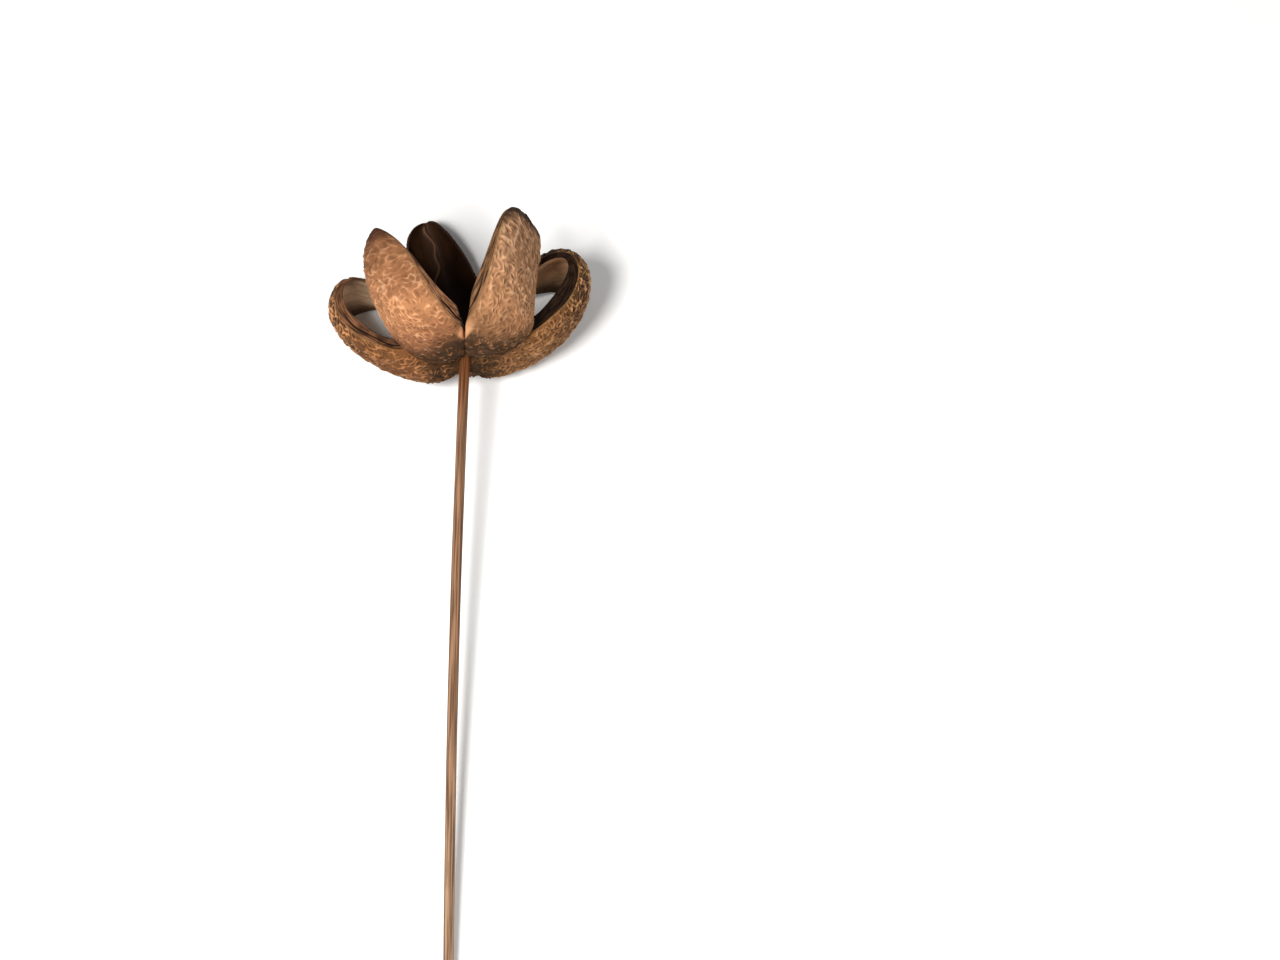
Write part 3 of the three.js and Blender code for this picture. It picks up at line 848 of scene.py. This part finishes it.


# Torn edge between the rind and the inside: strands that run lengthwise, and a crack darkened with painted
# shade
def lip_paint(name, light, dark):
    p = Paint(name)
    grain = p.mark("grain", "Vector")
    fibres = p.noise(p.stretch(grain, FIBRE_GRAIN), **FIBRES)
    raised = p.stirred(p.mark("strand"), fibres, STRAND_STIR)
    base = p.blend(p.rise(raised, STRAND_SPAN), colour(dark), colour(light))
    in_patch = p.rise(p.noise(grain, **LIP_PATCHES), LIP_PATCH_SPAN, LIP_PATCH_SHARE)
    base = p.blend(in_patch, base, colour(dark))
    base = p.blend(p.rise(p.mark("along"), LIP_TIP_SPAN, LIP_TIP_SHARE), base, colour(TIP_BROWN))
    # Painted shade down in the crack
    base = p.blend(p.rise(p.mark("crack"), CRACK_SPAN), base, colour(CRACK_SHADE_BLACK))
    p.bump(fibres, LIP_BUMP)
    return p.finish(base, p.rise(fibres, **LIP_ROUGHNESS), LIP_SHEEN)


# Smooth satin inside, with painted shade deep in the hollow and on one side, faint streaks and a light midrib
def inside_paint(name, light, dark, rib, far_side):
    p = Paint(name)
    grain = p.mark("grain", "Vector")
    streaks = p.noise(p.stretch(grain, STREAK_GRAIN), **STREAKS)
    clouds = p.noise(grain, **CLOUDS)
    # Lighter towards the tip, which leaves painted shade deep in the hollow near the stem, and lighter in
    # random clouds
    lightness = p.maths(
        "ADD", p.rise(p.mark("along"), LIGHTER_SPAN, LIGHTER_SHARE), p.rise(clouds, CLOUD_SPAN, CLOUD_SHARE))
    base = p.blend(lightness, colour(dark), colour(light))
    # Painted shade on the far side of the inside
    far = p.rise(p.maths("MULTIPLY", p.mark("side"), far_side), FAR_SHADE_SPAN, FAR_SHADE_SHARE)
    base = p.blend(far, base, colour(dark))
    base = p.blend(p.rise(streaks, STREAK_SPAN, STREAK_SHARE), base, colour(dark))
    base = p.blend(p.rise(p.mark("rib"), RIB_SPAN, RIB_SHARE), base, colour(rib))
    p.bump(p.maths("ADD", streaks, p.noise(grain, **INSIDE_SPECKS)), INSIDE_BUMP)
    return p.finish(base, p.rise(clouds, **INSIDE_ROUGHNESS), INSIDE_SHEEN)


# Reed: pale and dark stripes lengthwise, warmer near the pod
def stem_paint():
    p = Paint("reed")
    grain = p.mark("grain", "Vector")
    stripes = p.noise(p.stretch(grain, STRIPE_GRAIN), **STRIPES)
    blotches = p.noise(p.stretch(grain, BLOTCH_GRAIN), **BLOTCHES)
    warm = p.blend(p.rise(stripes, WARM_STRIPE_SPAN), *(colour(hue) for hue in REED_WARM))
    grey = p.blend(p.rise(stripes, GREY_STRIPE_SPAN), *(colour(hue) for hue in REED_GREY))
    greyed = p.maths("ADD", *(p.rise(p.mark("along"), span, 0.5) for span in REED_GREYING))
    base = p.blend(greyed, warm, grey)
    base = p.blend(p.rise(p.mark("ridge"), **REED_GROOVES), base, colour(REED_GROOVE))
    base = p.blend(p.rise(blotches, BLOTCH_SPAN, BLOTCH_SHARE), base, colour(REED_BLOTCH))
    p.bump(stripes, REED_BUMP)
    return p.finish(base, p.rise(blotches, **REED_ROUGHNESS), REED_SHEEN)


def table_paint():
    return Paint("table").finish(colour(TABLE_WHITE), TABLE_ROUGHNESS, TABLE_SHEEN)


# What sets the five follicles apart: the draw of their ridges, how deep the crack in their split edges is,
# how far the midrib stands up, how far the olive reaches, how much the top is shaded, where the tip is dark
# and towards which side, which side of the inside gets painted shade, how strongly the rind is mottled and
# its grooves and pits darkened with painted shade, and the colours of the rind (ground, ridge, warm ridge,
# patch, shade and seam), the split edges (light and dark) and the inside (light, dark and midrib)
LOOKS = {
    "front_left": dict(
        seed=11, crack=0.0004, rib=0.0002, olive=0.44, top_shade=0.66, dark_from=0.86, dark_side=0.0,
        far_side=0.0, mottle_and_shade=0.45,
        rind=("b07a52", "d8ae84", "d49c72", "5f3520", "4c2d1a", "c68a60"),
        lip=("8e6447", "3c2416"), inside=("2a1a0d", "0c0502", "5c3e29")),
    "front_right": dict(
        seed=23, crack=0.0004, rib=0.0002, olive=0.44, top_shade=0.0, dark_from=0.93, dark_side=0.25,
        far_side=0.0, mottle_and_shade=0.5,
        rind=("b38560", "dfba96", "daa97f", "905e3a", "4e3320", "c6926a"),
        lip=("785539", "24160d"), inside=("2a1a0d", "0c0502", "5c3e29")),
    # The right's inside is pale: partly its own colour, partly painted light in its hood
    "right": dict(
        seed=37, crack=0.0006, rib=0.0003, olive=0.17, top_shade=0.4, dark_from=0.7, dark_side=0.0,
        far_side=-1.0, mottle_and_shade=1.3,
        rind=("a67a4c", "e0b284", "d69e70", "744b2a", "1e1108", "6a4626"),
        lip=("2a1b10", "080402"), inside=("f4c496", "080301", "a67f5c")),
    # The back's inside is near black: partly its own dark colour, partly painted shade
    "back": dict(
        seed=41, crack=0.0004, rib=0.0005, olive=0.17, top_shade=0.4, dark_from=0.8, dark_side=0.0,
        far_side=0.0, mottle_and_shade=1.0,
        rind=("704d2c", "946e46", "8f6238", "6d4524", "3e2813", "6a4626"),
        lip=("3c281a", "120a06"), inside=("2e1a0b", "060201", "63402a")),
    # The left's inside is pale: partly its own colour, partly painted light in its hood
    "left": dict(
        seed=53, crack=0.0010, rib=0.0003, olive=0.17, top_shade=0.5, dark_from=0.78, dark_side=0.0,
        far_side=1.0, mottle_and_shade=1.3,
        rind=("a67146", "e4b286", "da9468", "6c4323", "1e1108", "6e4526"),
        lip=("6f4a31", "2a1a10"), inside=("e2bd9a", "4c3220", "b89676")),
}


def pod():
    pieces = []
    for name, look in LOOKS.items():
        materials = [
            rind_paint("rind_" + name, look),
            lip_paint("lip_" + name, *look["lip"]),
            inside_paint("inside_" + name, *look["inside"], look["far_side"]),
        ]
        pieces.append(follicle(name, look["seed"], look["crack"], look["rib"], materials))
    pieces.append(boss([bpy.data.materials["rind_left"]]))
    return pieces


# Moves a piece sideways, from the upright plant's own axis to where the frame has it
def set_in_frame(piece, shift):
    piece.data.transform(Matrix.Translation(shift))


def plant():
    pieces = pod()
    reed = stem([stem_paint()])
    reed_low = Vector(np.array([v.co for v in reed.data.vertices]).min(0))
    cad_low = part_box("stem")[0]
    shift = Vector((cad_low.x - reed_low.x, cad_low.y - reed_low.y, 0))
    for piece in [*pieces, reed]:
        set_in_frame(piece, shift)
        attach(piece, "root")
    for piece in pieces:
        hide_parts("pod")
    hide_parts("stem")
    return shift


# A pale table that runs far past the picture
def table():
    bpy.ops.mesh.primitive_plane_add(size=FLOOR_SIZE)
    floor = bpy.context.object
    floor.name = "floor"
    floor.data.materials.append(table_paint())


def softbox(name, place, size, power):
    light = bpy.data.objects.new(name, bpy.data.lights.new(name, "AREA"))
    light.data.shape = "DISK"
    light.data.size = size
    light.data.energy = power
    light.location = place
    light.rotation_euler = (Vector(LIT_SPOT) - Vector(place)).to_track_quat("-Z", "Y").to_euler()
    bpy.context.scene.collection.objects.link(light)


# Pale surroundings that light the plant evenly from all round
def surroundings():
    world = bpy.data.worlds.new("surroundings")
    world.use_nodes = True
    background = world.node_tree.nodes["Background"]
    background.inputs["Color"].default_value = colour(SKY_WHITE)
    background.inputs["Strength"].default_value = SURROUNDINGS
    bpy.context.scene.world = world


# The camera looks down on the lying plant from the stem's side
def camera(junction):
    down = math.radians(90 - VIEW_BELOW_EQUATOR) - stem_slope()
    forward = Vector((0, math.cos(down), -math.sin(down)))
    picture_up = Vector((0, math.sin(down), math.cos(down)))
    metres_per_pixel = PICTURE_WIDTH / IMAGE_SIZE[0]
    right = (IMAGE_SIZE[0] / 2 - JUNCTION_PIXEL[0]) * metres_per_pixel
    up = (JUNCTION_PIXEL[1] - IMAGE_SIZE[1] / 2) * metres_per_pixel
    middle = junction + Vector((right, 0, 0)) + picture_up * up
    view = bpy.data.objects.new("camera", bpy.data.cameras.new("camera"))
    view.data.sensor_width = SENSOR
    view.data.lens = SENSOR * VIEW_DISTANCE / PICTURE_WIDTH
    view.location = middle - forward * VIEW_DISTANCE
    view.rotation_euler = (math.pi / 2 - down, 0, 0)
    bpy.context.scene.collection.objects.link(view)
    bpy.context.scene.camera = view


shift = plant()
table()
surroundings()
softbox("key", **KEY_LIGHT)
softbox("front", **FRONT_LIGHT)
camera(Vector((0, 0, AXIS_HEIGHT)) + shift)
bpy.context.scene.view_settings.view_transform = "Standard"
